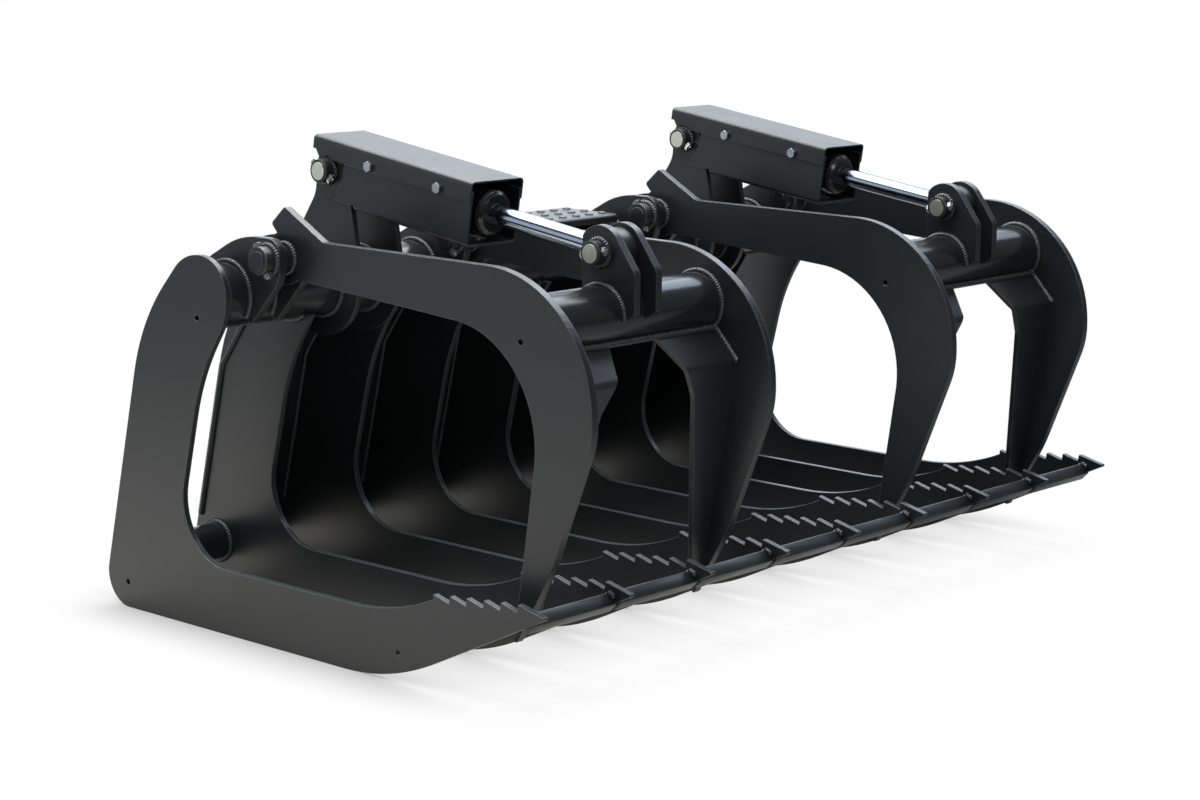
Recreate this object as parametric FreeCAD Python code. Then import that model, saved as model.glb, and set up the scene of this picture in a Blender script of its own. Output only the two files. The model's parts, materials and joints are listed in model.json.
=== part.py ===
import FreeCAD, Part
import math
import os

# Root grapple for a skid-steer loader, in millimetres.
# X runs across the width, -Y is the front where the tips point, +Z is up.
# The origin lies on the floor, under the middle bottom tine.
# Both clamps are modelled closed, and that is the rest pose.

V = FreeCAD.Vector
SQUARE = 90.0

# Fits and gaps
WELD_GAP = 0.3          # between a curved face and the plate welded to it
RELIEF_GAP = 0.5        # between the back panel and the brackets' relief
RUNNING = 0.05          # radial clearance of a pin in a bore it turns in
SIDE_PLAY = 1.0         # end float of a moving hub between two fixed cheeks
BOLT_PLAY = 0.2         # radial clearance of a bolt in its hole

# Bottom tines
TINE_COUNT = 9
TINE_PITCH = 228.0
TINE_T = 12.0
TIP_Y = -703.0
TIP_Z = 188.0
TIP_R = 3.0
UNDERSIDE_ANGLE = 26.0  # rise of the straight underside towards the tip
HEEL_R = 520.0
BACK_FOOT_Y = 512.0     # where the leaning back edge would meet the floor
BACK_CORNER_R = 66.0
LEAN = 12.7             # forward lean of the back leg, from upright
SHOULDER_ANGLE = 42.0   # lean of the back edge above the shoulder
SHOULDER_R = 400.0
LEG_TOP_Z = 733.0
LEG_TOP_Y = 300.0       # a point of the shoulder line, with the next value
LEG_TOP_LINE_Z = 675.0
CROWN_R = 95.0
LEG_FRONT_Y = 126.0
FRONT_CROWN_R = 75.0
NECK_Z = 620.0
NECK_R = 120.0
THROAT_Y = 207.0
THROAT_Z = 495.6
THROAT_R = 450.0
FLOOR_LEG = 128.0       # height of the bottom leg
LEG_DEPTH = 220.0       # back leg measured along the floor
INNER_CORNER_R = 125.0
RAMP_Y = -325.0         # where the bottom leg starts to rise to the teeth
RAMP_R = 510.0
TEETH = 5
TOOTH_PITCH = 41.7
TOOTH_START_Y = -429.0
TOOTH_START_Z = 184.0
TOOTH_CLIMB = 3.9
TOOTH_DROP = 10.5
TOOTH_UNDERCUT = 2.5
FIRST_STEP = 9.0
TRIMMED_TOP_Z = 600.0   # the inner tines stop here, saddled under the torque tube
JIG_HOLE_R = 6.0
TINE_HOLES = ((212.0, 611.0), (434.0, 52.0), (-339.0, 58.0))

# Torque tube, lower corner tubes and front crossbar
TORQUE_Y = 197.0
TORQUE_Z = 652.0
TORQUE_R = 63.5
TORQUE_WALL = 10.0
CORNER_Y = 425.0
CORNER_Z = 100.0
CORNER_R = 38.0
CORNER_WALL = 8.0
BAR_Y = -662.0
BAR_Z = 181.0
BAR_LONG = 22.0
BAR_HIGH = 26.0

# Back panel and quick-attach frame, measured in the leaning plane of the back edges
PANEL_T = 8.0
PANEL_FOOT = 75.0
KNEE_Z = 470.0
ATTACH_HALF = 572.0
ATTACH_T = 10.0
ATTACH_FOOT = 95.0
ATTACH_HEAD = 470.0
LIP_T = 10.0
TOP_LIP = ((0.0, -30.0), (0.0, 10.0), (40.0, 30.0), (54.0, 4.0))    # from the plate's head
BOTTOM_LIP = ((0.0, 55.0), (0.0, 10.0), (46.0, -27.0))               # from the plate's foot
SLOT_X = 400.0
SLOT_LONG = 64.0
SLOT_WIDE = 24.0
GUIDE_T = 10.0
GUIDE_FOOT = 26.0       # depth of a side guide at its foot
GUIDE_DEEP = 46.0
GUIDE_TAPER = 60.0      # height over which its upper end runs out

# Step on the torque tube
STEP_LEFT_GAP = 15.0     # from the step's ends to the nearest clamp ears
STEP_RIGHT_GAP = 7.0
STEP_T = 6.0
STEP_TOP = 731.0
STEP_FRONT = 135.0
STEP_REAR = 292.0
STEP_NOSE = 17.0
STUD_FLATS = 17.0
STUD_H = 4.0
STUD_CHAMFER = 2.0
STUD_COLUMNS = 11
STUD_ROWS = 3
RIB_T = 8.0
RIB_INSET = 55.0
RIB_FRONT = 20.0        # setback of a rib's edges under the step
RIB_REAR = 20.0

# Clamp pivots
PIVOT_Y = 82.5
PIVOT_Z = 730.0
PIVOT_PIN_R = 19.0
EAR_T = 16.0
EAR_NOSE = 31.5         # from the pivot to the ear's front edge
EAR_NOSE_R = 32.0
EAR_RISE = 40.5         # from the pivot to the ear's top
EAR_TOP_LONG = 78.5
EAR_TOP_R = 190.0
EAR_DROP = 39.0         # from the pivot to the bend of the front edge
EAR_DROP_R = 60.0
EAR_TAIL = (65.0, 63.0) # the ear's two ends on the torque tube, from the tube's centre
EAR_FOOT = (-63.0, -52.5)
EAR_END_R = 6.0
HUB_R = 26.0
HUB_REACH = 28.0        # outer ear to clamp tine
INNER_EAR_GAP = 4.0
BOSS_R = 27.0
BOSS_LONG = 27.0
PIN_TAIL = 5.0
END_GAP = 29.0          # from the outermost boss to the end tine
PIVOT_BOLT_ANGLE = 63.0  # direction of a retaining bolt's head, from level

# Clamps
CLAMP_T = 16.0
CLAMP_INNER_X = 298.0   # the inner tine of each clamp
CLAMP_TOP_Z = 768.0
CLAMP_FRONT_Y = -704.0
CLAMP_BROW_R = 255.0
CLAMP_CHIN_Z = 479.0
CLAMP_CHIN_R = 170.0
CLAMP_JAW_Y = -609.0
CLAMP_JAW_Z = 231.0
CLAMP_JAW_R = 500.0
CLAMP_TIP_Y = -520.0
CLAMP_TIP_Z = 76.0
CLAMP_TIP_R = 4.0
CLAMP_INNER_Y = -599.0
CLAMP_INNER_Z = 645.0
CLAMP_INNER_R = 275.0
CLAMP_LOBE_R = 52.0
LOBE_START_ANGLE = 230.6  # bearing at which the inner edge runs into the lobe
LOBE_END_ANGLE = 422.9    # bearing of the notch behind the horn
CLAMP_KINK_Y = -22.0
CLAMP_KINK_R = 30.0
HORN = ((122.0, 793.0, 6.0), (85.0, 827.0, 4.0))
CLAMP_HOLE = (-532.0, 640.0)

# Clamp cross tube, stiffener and rod lugs
CROSS_Y = -525.0
CROSS_Z = 662.0
CROSS_R = 57.15
CROSS_WALL = 8.0
STIFF_T = 10.0
BEND_Y = -622.0
BEND_Z = 558.0
STIFF_FOOT_Y = -545.0
STIFF_FOOT_Z = 130.0
STIFF_SEAT_ANGLE = 225.0  # where the stiffener meets the cross tube
ARCH = ((217.0, 120.0), (130.0, 503.0), (97.0, 558.0), (40.0, 606.0))
LUG_T = 16.0
LUG_GAP = 44.0
LUG_R = 50.0
LUG_BACK_Y = -479.0
LUG_NOSE_Y = -606.0
LUG_NOSE_Z = 748.0
LUG_FOOT_Z = 672.0

# Cylinders: u runs from the base pin towards the rod pin, w is square to it
BASE_Y = 176.0
BASE_Z = 877.0
ROD_PIN_Y = -520.0
ROD_PIN_Z = 779.0
CYL_PIN_R = 17.5
CYL_BOSS_R = 23.0
CYL_BOSS_LONG = 25.0
BARREL_R = 44.5
BORE_R = 38.1
BARREL_START = 44.0
BARREL_END = 395.0
BARREL_CAP = 12.0
EYE_R = 32.0
EYE_HALF = 48.5
GLAND_LIP = 10.0
GLAND_R = 43.0
GLAND_CHAMFER = 6.0
GLAND_DEEP = 35.0
ROD_R = 19.0
SPIGOT_R = 12.5
PISTON_LONG = 40.0
PISTON_AT = 300.0
ROD_EYE_R = 42.0
ROD_EYE_BORE_R = 29.25  # wider than the pin, see LOOP_PLAY
LOOP_PLAY = ROD_EYE_BORE_R - CYL_PIN_R
ROD_EYE_HALF = 20.0
PORT_R = 9.5
PORT_DEEP = 12.0
PORT_BOSS_R = 15.0
BASE_PORT_U = 92.0
HEAD_PORT_U = 352.0
BASE_BOLT_ANGLE = 33.0
ROD_BOLT_ANGLE = -11.0

# Cylinder brackets
BRACKET_T = 12.0
BRACKET_INNER = 50.0
BRACKET_TOP_R = 37.0
BRACKET_WRAP_R = 106.0
BRACKET_WAIST = ((208.0, 834.0, 60.0), (TORQUE_Y + BRACKET_WRAP_R, 690.0, 50.0))
BRACKET_FRONT = ((TORQUE_Y - BRACKET_WRAP_R, 705.0, 60.0), (110.0, 810.0, 30.0))

# Cylinder guards
TROUGH_INNER = BRACKET_INNER + BRACKET_T + 1.0
TROUGH_T = 4.0
TROUGH_SHELF = 45.0
TROUGH_FLOOR = -62.0
TROUGH_BEND = 9.0
GUARD_END = 400.0
HOSE_OPENING_R = 24.0    # in the trough's floor, under each port
TROUGH_CHEEK = ((50.0, 60.0), (48.0, -8.0), (29.0, -46.0), (29.0, -80.0))
TROUGH_MOUTH = 86.0     # the trough's floor starts here, in front of the brackets
COVER_T = 3.5
COVER_TOP = 65.0
COVER_HEM = 24.0
COVER_BACK = -38.0
COVER_BACK_HEM = 38.0
COVER_NOTCH_R = 31.0
GUARD_BOLTS = (124.0, 314.0)
GUARD_BOLT_W = 35.0
SADDLE_LONG = 24.0
SADDLE_LOW = 22.0

# Fasteners
M10_R = 5.0
M10_FLATS = 17.0
M10_HEAD = 6.4
M10_NUT = 8.0
M12_R = 6.0
M12_FLATS = 19.0
M12_HEAD = 7.5
M12_REACH = 24.0

# Values that follow from the sizes above
CYL_RUN = math.hypot(BASE_Y - ROD_PIN_Y, BASE_Z - ROD_PIN_Z)
CYL_TILT = math.degrees(math.atan2(BASE_Z - ROD_PIN_Z, BASE_Y - ROD_PIN_Y))
TINE_XS = [(i - (TINE_COUNT - 1) / 2) * TINE_PITCH for i in range(TINE_COUNT)]
END_FACE = TINE_XS[-1] - TINE_T / 2
CLAMP_OUTER_X = END_FACE - END_GAP - BOSS_LONG - EAR_T - HUB_REACH - CLAMP_T / 2
CLAMP_X = (CLAMP_OUTER_X + CLAMP_INNER_X) / 2
CLAMP_PITCH = CLAMP_OUTER_X - CLAMP_INNER_X
SIDES = (("left", -CLAMP_X), ("right", CLAMP_X))
PLACES = (("outer", -CLAMP_PITCH / 2), ("inner", CLAMP_PITCH / 2))
STEP_X0 = -CLAMP_INNER_X + CLAMP_T / 2 + INNER_EAR_GAP + EAR_T + STEP_LEFT_GAP
STEP_X1 = CLAMP_INNER_X - CLAMP_T / 2 - HUB_REACH - EAR_T - BOSS_LONG - STEP_RIGHT_GAP


def sin(degrees):
    return math.sin(math.radians(degrees))


def cos(degrees):
    return math.cos(math.radians(degrees))


def tan(degrees):
    return math.tan(math.radians(degrees))


def crossing(p, angle_p, q, angle_q):
    """Point where two lines in the YZ plane meet, each given by a point and a direction."""
    det = cos(angle_p) * sin(angle_q) - sin(angle_p) * cos(angle_q)
    dy, dz = q[0] - p[0], q[1] - p[1]
    t = (dy * sin(angle_q) - dz * cos(angle_q)) / det
    return p[0] + t * cos(angle_p), p[1] + t * sin(angle_p)


def outline(corners):
    """Closed wire in the YZ plane from corners (y, z, radius), each rounded by its radius."""
    points = []
    count = len(corners)
    for i, corner in enumerate(corners):
        here = V(0, corner[0], corner[1])
        radius = corner[2] if len(corner) > 2 else 0
        if not radius:
            points.append((here, here, here))
            continue
        before = V(0, *corners[i - 1][:2]) - here
        after = V(0, *corners[(i + 1) % count][:2]) - here
        before.normalize()
        after.normalize()
        half = math.acos(max(-1.0, min(1.0, before.dot(after)))) / 2
        start = here + before * (radius / math.tan(half))
        end = here + after * (radius / math.tan(half))
        middle = before + after
        middle.normalize()
        top = here + middle * (radius / math.sin(half) - radius)
        points.append((start, top, end))
    edges = []
    for i, (start, top, end) in enumerate(points):
        if not start.isEqual(end, 1e-6):
            edges.append(Part.Arc(start, top, end).toShape())
        following = points[(i + 1) % count][0]
        if not end.isEqual(following, 1e-6):
            edges.append(Part.makeLine(end, following))
    return Part.Wire(edges)


def lobe(y, z, radius, start, end):
    """Corners that carry an outline round a circle from one bearing to another."""
    steps = math.ceil(abs(end - start) / 80)
    step = (end - start) / steps
    reach = radius / cos(step / 2)
    corners = [(y + radius * cos(start), z + radius * sin(start), 0)]
    for i in range(steps):
        middle = start + step * (i + 0.5)
        corners.append((y + reach * cos(middle), z + reach * sin(middle), radius))
    corners.append((y + radius * cos(end), z + radius * sin(end), 0))
    return corners


def tangent_bearing(y, z, radius, point):
    """Bearing, on the clockwise side, at which a line from the point touches a circle."""
    dy, dz = point[0] - y, point[1] - z
    distance = math.hypot(dy, dz)
    bearing = math.degrees(math.atan2(dz, dy)) % 360
    return bearing - math.degrees(math.acos(radius / distance))


def plate(corners, x0, thickness):
    """Flat plate square to X, from its outline in the YZ plane."""
    face = Part.Face(outline(corners))
    face.translate(V(x0, 0, 0))
    return face.extrude(V(thickness, 0, 0))


def rod_x(radius, x0, x1, y, z):
    return Part.makeCylinder(radius, x1 - x0, V(x0, y, z), V(1, 0, 0))


def tube_x(radius, bore, x0, x1, y, z):
    return rod_x(radius, x0, x1, y, z).cut(rod_x(bore, x0 - 1, x1 + 1, y, z))


def box(x0, x1, y0, y1, z0, z1):
    return Part.makeBox(x1 - x0, y1 - y0, z1 - z0, V(x0, y0, z0))


def strip(path, thickness, bend=0.0):
    """Corners of a bent strip: the path is one face, the thickness lies to its left."""
    sides = []
    for (y0, z0), (y1, z1) in zip(path, path[1:]):
        angle = math.degrees(math.atan2(z1 - z0, y1 - y0))
        sides.append(((y0 - thickness * sin(angle), z0 + thickness * cos(angle)), angle))
    last = path[-1]
    end_angle = sides[-1][1]
    far = [sides[0][0]]
    for (p, angle_p), (q, angle_q) in zip(sides, sides[1:]):
        far.append(crossing(p, angle_p, q, angle_q))
    far.append((last[0] - thickness * sin(end_angle), last[1] + thickness * cos(end_angle)))
    near = [(y, z, 0) for y, z in path]
    away = [(y, z, 0) for y, z in far]
    for i in range(1, len(path) - 1):
        turn = sides[i][1] - sides[i - 1][1]
        near_r, away_r = (bend + thickness, bend) if turn > 0 else (bend, bend + thickness)
        near[i] = (path[i][0], path[i][1], near_r if bend else 0)
        away[i] = (far[i][0], far[i][1], away_r if bend else 0)
    return near + away[::-1]


def prism(sides, flats, height):
    """Regular prism along +Z, given across its flats."""
    turn = 4 * SQUARE / sides
    reach = flats / 2 / cos(turn / 2)
    corners = [V(reach * cos(turn * i), reach * sin(turn * i), 0) for i in range(sides)]
    return Part.Face(Part.makePolygon(corners + corners[:1])).extrude(V(0, 0, height))


def aim(shape, at, direction):
    """Turns a shape modelled along +Z to a direction and moves it to a place."""
    shape.Placement = FreeCAD.Placement(at, FreeCAD.Rotation(V(0, 0, 1), direction))
    return shape


def hex_bolt(radius, flats, head, shank):
    """Bolt along +Z: the head's seat is at zero, the shank points to -Z."""
    body = Part.makeCylinder(radius, shank, V(0, 0, -shank))
    crown = prism(6, flats, head)
    chamfer = Part.makeCone(flats * 0.62, flats * 0.40, flats * 0.22, V(0, 0, head - flats * 0.10))
    skirt = Part.makeCylinder(flats * 0.62, head - flats * 0.10)
    return body.fuse(crown.common(skirt.fuse(chamfer))).removeSplitter()


def hex_nut(radius, flats, height):
    ring = prism(6, flats, height)
    return ring.cut(Part.makeCylinder(radius + RUNNING, height + 2, V(0, 0, -1)))


def cross_bolt(x, y, z, turn, boss_r):
    """Retaining bolt and nut across a boss: two solids, the head at the upper or rear side."""
    direction = V(0, cos(turn), sin(turn))
    reach = boss_r + 0.5
    shank = 2 * reach + M10_NUT + 3
    bolt = aim(hex_bolt(M10_R, M10_FLATS, M10_HEAD, shank), V(x, y, z) + direction * reach, direction)
    nut = hex_nut(M10_R, M10_FLATS, M10_NUT)
    nut = aim(nut, V(x, y, z) - direction * (reach + M10_NUT), direction)
    return [bolt, nut]


def cross_hole(x, y, z, turn, boss_r):
    direction = V(0, cos(turn), sin(turn))
    start = V(x, y, z) - direction * (boss_r + 2)
    return Part.makeCylinder(M10_R + BOLT_PLAY, 2 * boss_r + 4, start, direction)


# Bottom tines

def tooth_peak(i):
    return TOOTH_START_Y - TOOTH_PITCH * i, TOOTH_START_Z + TOOTH_CLIMB * i


def tooth_corners():
    """Five short teeth and the long tip edge, from the rear to the front."""
    corners = [(TOOTH_START_Y, TOOTH_START_Z - FIRST_STEP, 0)]
    for i in range(TEETH):
        y, z = tooth_peak(i)
        next_y = tooth_peak(i + 1)[0]
        corners.append((y, z, 0))
        corners.append((next_y + TOOTH_UNDERCUT, z - TOOTH_DROP, 0))
    corners.append((*tooth_peak(TEETH), 0))
    return corners


def back_line(z):
    return BACK_FOOT_Y - z * tan(LEAN)


def tine_corners():
    lean_up = SQUARE + LEAN
    shoulder_up = SQUARE + SHOULDER_ANGLE
    foot = (BACK_FOOT_Y, 0)
    shoulder_point = (LEG_TOP_Y, LEG_TOP_LINE_Z)
    shoulder = crossing(foot, lean_up, shoulder_point, shoulder_up)
    crown = crossing(shoulder_point, shoulder_up, (0, LEG_TOP_Z), 0)
    inner_corner = (BACK_FOOT_Y - LEG_DEPTH, FLOOR_LEG)
    heel = (TIP_Y + TIP_Z / tan(UNDERSIDE_ANGLE), 0)
    corners = [
        (*heel, HEEL_R),
        (*foot, BACK_CORNER_R),
        (*shoulder, SHOULDER_R),
        (*crown, CROWN_R),
        (LEG_FRONT_Y, LEG_TOP_Z, FRONT_CROWN_R),
        (LEG_FRONT_Y, NECK_Z, NECK_R),
        (THROAT_Y, THROAT_Z, THROAT_R),
        (*inner_corner, INNER_CORNER_R),
        (RAMP_Y, FLOOR_LEG, RAMP_R),
    ]
    return corners + tooth_corners() + [(TIP_Y, TIP_Z, TIP_R)]


def panel_path():
    """Foot, knee and head of the back panel's inner face; the head is tangent to the torque tube."""
    knee = (back_line(KNEE_Z), KNEE_Z)
    foot = (back_line(PANEL_FOOT * cos(LEAN)), PANEL_FOOT * cos(LEAN))
    to_tube = (TORQUE_Y - knee[0], TORQUE_Z - knee[1])
    distance = math.hypot(*to_tube)
    bearing = math.degrees(math.atan2(to_tube[1], to_tube[0]))
    reach = TORQUE_R + WELD_GAP
    spread = math.degrees(math.asin(reach / distance))
    run = math.sqrt(distance ** 2 - reach ** 2)
    head_angle = bearing - spread
    head = (knee[0] + run * cos(head_angle), knee[1] + run * sin(head_angle))
    return foot, knee, head


def trim_tool():
    """What the inner tines lack: the crown above the trim line and all behind the panel."""
    knee, head = panel_path()[1:]
    lean = math.degrees(math.atan2(head[1] - knee[1], head[0] - knee[0]))
    at_trim = crossing(knee, lean, (0, TRIMMED_TOP_Z), 0)
    far = BACK_FOOT_Y + LEG_DEPTH
    top = LEG_TOP_Z + LEG_DEPTH
    return [(0, TRIMMED_TOP_Z), at_trim, knee, (far, knee[1]), (far, top), (0, top)]


def panel_relief(x0, thickness):
    """Room for the back panel in a plate that wraps the torque tube."""
    knee, head = panel_path()[1:]
    up = math.degrees(math.atan2(head[1] - knee[1], head[0] - knee[0]))
    start = (head[0] + PANEL_T * cos(up), head[1] + PANEL_T * sin(up))
    relief = plate(strip([start, knee], BRACKET_WRAP_R), x0, thickness)
    relief.translate(V(0, -RELIEF_GAP * sin(up), RELIEF_GAP * cos(up)))
    return relief


def tines():
    parts = {}
    for i, x in enumerate(TINE_XS):
        x0 = x - TINE_T / 2
        shape = plate(tine_corners(), x0, TINE_T)
        if 0 < i < TINE_COUNT - 1:
            shape = shape.cut(plate(trim_tool(), x0 - 1, TINE_T + 2))
            shape = shape.cut(rod_x(TORQUE_R + WELD_GAP, x0 - 1, x0 + TINE_T + 1, TORQUE_Y, TORQUE_Z))
        else:
            for y, z in TINE_HOLES:
                shape = shape.cut(rod_x(JIG_HOLE_R, x0 - 1, x0 + TINE_T + 1, y, z))
        parts[f"tine_{i + 1}"] = shape
    return parts


# Tubes and the front crossbar

def torque_tube():
    return tube_x(TORQUE_R, TORQUE_R - TORQUE_WALL, -END_FACE, END_FACE, TORQUE_Y, TORQUE_Z)


def corner_tube(sign):
    inner = TINE_XS[-2] + TINE_T / 2
    x0, x1 = sorted((sign * inner, sign * END_FACE))
    return tube_x(CORNER_R, CORNER_R - CORNER_WALL, x0, x1, CORNER_Y, CORNER_Z)


def front_crossbar():
    """One flat bar in each bay, its lower face in line with the tines' underside."""
    along = SQUARE * 2 - UNDERSIDE_ANGLE
    square_to = along - SQUARE
    corners = []
    for a, b in ((1, 1), (1, -1), (-1, -1), (-1, 1)):
        y = BAR_Y + a * BAR_LONG / 2 * cos(along) + b * BAR_HIGH / 2 * cos(square_to)
        z = BAR_Z + a * BAR_LONG / 2 * sin(along) + b * BAR_HIGH / 2 * sin(square_to)
        corners.append((y, z))
    bays = zip(TINE_XS, TINE_XS[1:])
    return [plate(corners, a + TINE_T / 2, b - a - TINE_T) for a, b in bays]


# Back panel and quick-attach frame

def lean_back(shape):
    """Moves a shape from the leaning plane's own frame to its place behind the tines."""
    shape.rotate(V(0, 0, 0), V(1, 0, 0), LEAN)
    shape.translate(V(0, BACK_FOOT_Y, 0))
    return shape


def back_panel():
    x1 = TINE_XS[-2] + TINE_T / 2
    path = panel_path()[::-1]
    panel = plate(strip(path, PANEL_T), -x1, 2 * x1)
    return panel


def attach_plate():
    return lean_back(box(-ATTACH_HALF, ATTACH_HALF, PANEL_T, PANEL_T + ATTACH_T, ATTACH_FOOT, ATTACH_HEAD))


def lip(path, level):
    """Places a lip's path on the attach plate's rear face, from the level it belongs to."""
    rear = PANEL_T + ATTACH_T
    return [(y + rear, z + level) for y, z in path]


def top_lip():
    return lean_back(plate(strip(lip(TOP_LIP, ATTACH_HEAD)[::-1], LIP_T, 6), -ATTACH_HALF, 2 * ATTACH_HALF))


def bottom_lip():
    path = lip(BOTTOM_LIP, ATTACH_FOOT)
    flange = lean_back(plate(strip(path, LIP_T, 6), -ATTACH_HALF, 2 * ATTACH_HALF))
    (y0, z0), (y1, z1) = path[1:]
    fall = math.degrees(math.atan2(z1 - z0, y1 - y0))
    for side in (-1, 1):
        x = side * SLOT_X
        half = SLOT_WIDE / 2
        ends = [Part.makeCylinder(half, 60, V(x + s * (SLOT_LONG / 2 - half), 0, -30)) for s in (-1, 1)]
        body = box(x - SLOT_LONG / 2 + half, x + SLOT_LONG / 2 - half, -half, half, -30, 30)
        slot = body.fuse(ends)
        slot.rotate(V(0, 0, 0), V(1, 0, 0), fall)
        slot.translate(V(0, (y0 + y1) / 2 + 4, (z0 + z1) / 2 - 3))
        flange = flange.cut(lean_back(slot))
    return flange


def side_guides():
    rear = PANEL_T + ATTACH_T
    corners = [(rear, ATTACH_FOOT), (rear + GUIDE_FOOT, ATTACH_FOOT),
               (rear + GUIDE_DEEP, ATTACH_HEAD - GUIDE_TAPER), (rear, ATTACH_HEAD)]
    guides = []
    for x0 in (-ATTACH_HALF - GUIDE_T, ATTACH_HALF):
        guide = plate([(y - ATTACH_T, z) for y, z in corners], x0, GUIDE_T)
        guides.append(lean_back(guide))
    return guides


# Step on the torque tube

def step_plate():
    nose = (STEP_FRONT, STEP_TOP - STEP_NOSE)
    path = ((STEP_REAR, STEP_TOP - STEP_T), (STEP_FRONT + STEP_T, STEP_TOP - STEP_T),
            (STEP_FRONT + STEP_T, nose[1]))
    sheet = plate(strip(path[::-1], STEP_T, 3), STEP_X0, STEP_X1 - STEP_X0)
    stud = prism(8, STUD_FLATS, STUD_H)
    rim = [edge for edge in stud.Edges if edge.BoundBox.ZMin > STUD_H / 2]
    stud = stud.makeChamfer(STUD_CHAMFER, rim)
    studs = []
    x_gap = (STEP_X1 - STEP_X0) / STUD_COLUMNS
    y_gap = (STEP_REAR - STEP_FRONT) / STUD_ROWS
    for column in range(STUD_COLUMNS):
        for row in range(STUD_ROWS):
            x = STEP_X0 + x_gap * (column + 0.5)
            y = STEP_FRONT + y_gap * (row + 0.5)
            studs.append(stud.translated(V(x, y, STEP_TOP)))
    return sheet.fuse(studs)


def step_ribs():
    """Two ribs between the torque tube and the underside of the step."""
    under = STEP_TOP - STEP_T
    corners = [(STEP_FRONT + RIB_FRONT, under), (TORQUE_Y, TORQUE_Z), (STEP_REAR - RIB_REAR, under)]
    ribs = []
    for x0 in (STEP_X0 + RIB_INSET, STEP_X1 - RIB_INSET - RIB_T):
        rib = plate(corners, x0, RIB_T)
        ribs.append(rib.cut(rod_x(TORQUE_R + WELD_GAP, x0 - 1, x0 + RIB_T + 1, TORQUE_Y, TORQUE_Z)))
    return ribs


# Clamp pivots

def ear_corners():
    """Ear that wraps the torque tube's top and front and carries the pivot ahead of it."""
    front = PIVOT_Y - EAR_NOSE
    top = PIVOT_Z + EAR_RISE
    return [
        (TORQUE_Y, TORQUE_Z, 0),
        (TORQUE_Y + EAR_TAIL[0], TORQUE_Z + EAR_TAIL[1], EAR_END_R),
        (PIVOT_Y + EAR_TOP_LONG, top, EAR_TOP_R),
        (front, top, EAR_NOSE_R),
        (front, PIVOT_Z - EAR_DROP, EAR_DROP_R),
        (TORQUE_Y + EAR_FOOT[0], TORQUE_Z + EAR_FOOT[1], EAR_END_R),
    ]


def ear(x0):
    shape = plate(ear_corners(), x0, EAR_T)
    shape = shape.cut(rod_x(TORQUE_R + WELD_GAP, x0 - 1, x0 + EAR_T + 1, TORQUE_Y, TORQUE_Z))
    return shape.cut(rod_x(PIVOT_PIN_R + RUNNING, x0 - 1, x0 + EAR_T + 1, PIVOT_Y, PIVOT_Z))


def pivot_layout(tine_x):
    """Ends along X of the boss, outer ear, clamp tine and inner ear at one pivot."""
    tine_0 = tine_x - CLAMP_T / 2
    tine_1 = tine_x + CLAMP_T / 2
    ear_1 = tine_0 - HUB_REACH
    ear_0 = ear_1 - EAR_T
    return {"boss": ear_0 - BOSS_LONG, "outer": ear_0, "hub0": ear_1 + SIDE_PLAY, "tine": tine_0,
            "hub1": tine_1 + INNER_EAR_GAP - SIDE_PLAY, "inner": tine_1 + INNER_EAR_GAP}


def pivot_ears(tine_x):
    at = pivot_layout(tine_x)
    boss = tube_x(BOSS_R, PIVOT_PIN_R + RUNNING, at["boss"], at["outer"], PIVOT_Y, PIVOT_Z)
    outer = ear(at["outer"]).fuse(boss)
    middle = (at["boss"] + at["outer"]) / 2
    outer = outer.cut(cross_hole(middle, PIVOT_Y, PIVOT_Z, PIVOT_BOLT_ANGLE, BOSS_R))
    return [outer, ear(at["inner"])]


def pivot_pin(tine_x):
    at = pivot_layout(tine_x)
    pin = rod_x(PIVOT_PIN_R, at["boss"] - 2, at["inner"] + EAR_T + PIN_TAIL, PIVOT_Y, PIVOT_Z)
    middle = (at["boss"] + at["outer"]) / 2
    return pin.cut(cross_hole(middle, PIVOT_Y, PIVOT_Z, PIVOT_BOLT_ANGLE, BOSS_R))


def pivot_bolt(tine_x):
    at = pivot_layout(tine_x)
    middle = (at["boss"] + at["outer"]) / 2
    return cross_bolt(middle, PIVOT_Y, PIVOT_Z, PIVOT_BOLT_ANGLE, BOSS_R)


# Cylinder brackets and base pins

def bracket(x0):
    """Upright plate round the torque tube, with the base pin's bore at its top."""
    low = TORQUE_Z - BRACKET_WRAP_R
    body = plate([
        (BASE_Y - BRACKET_TOP_R, BASE_Z + BRACKET_TOP_R, BRACKET_TOP_R),
        (BASE_Y + BRACKET_TOP_R, BASE_Z + BRACKET_TOP_R, BRACKET_TOP_R),
        *BRACKET_WAIST,
        (TORQUE_Y + BRACKET_WRAP_R, low, BRACKET_WRAP_R),
        (TORQUE_Y - BRACKET_WRAP_R, low, BRACKET_WRAP_R),
        *BRACKET_FRONT,
    ], x0, BRACKET_T)
    body = body.cut(rod_x(TORQUE_R + WELD_GAP, x0 - 1, x0 + BRACKET_T + 1, TORQUE_Y, TORQUE_Z))
    body = body.cut(panel_relief(x0 - 1, BRACKET_T + 2))
    return body.cut(rod_x(CYL_PIN_R + RUNNING, x0 - 1, x0 + BRACKET_T + 1, BASE_Y, BASE_Z))


def base_pin_span(centre):
    near = centre - BRACKET_INNER - BRACKET_T - CYL_BOSS_LONG
    return near, near + CYL_BOSS_LONG / 2, centre + BRACKET_INNER + BRACKET_T + PIN_TAIL


def brackets(centre):
    near_x = centre - BRACKET_INNER - BRACKET_T
    start, bolt_x, _ = base_pin_span(centre)
    boss = tube_x(CYL_BOSS_R, CYL_PIN_R + RUNNING, start, near_x, BASE_Y, BASE_Z)
    near = bracket(near_x).fuse(boss)
    near = near.cut(cross_hole(bolt_x, BASE_Y, BASE_Z, BASE_BOLT_ANGLE, CYL_BOSS_R))
    return [near, bracket(centre + BRACKET_INNER)]


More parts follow.
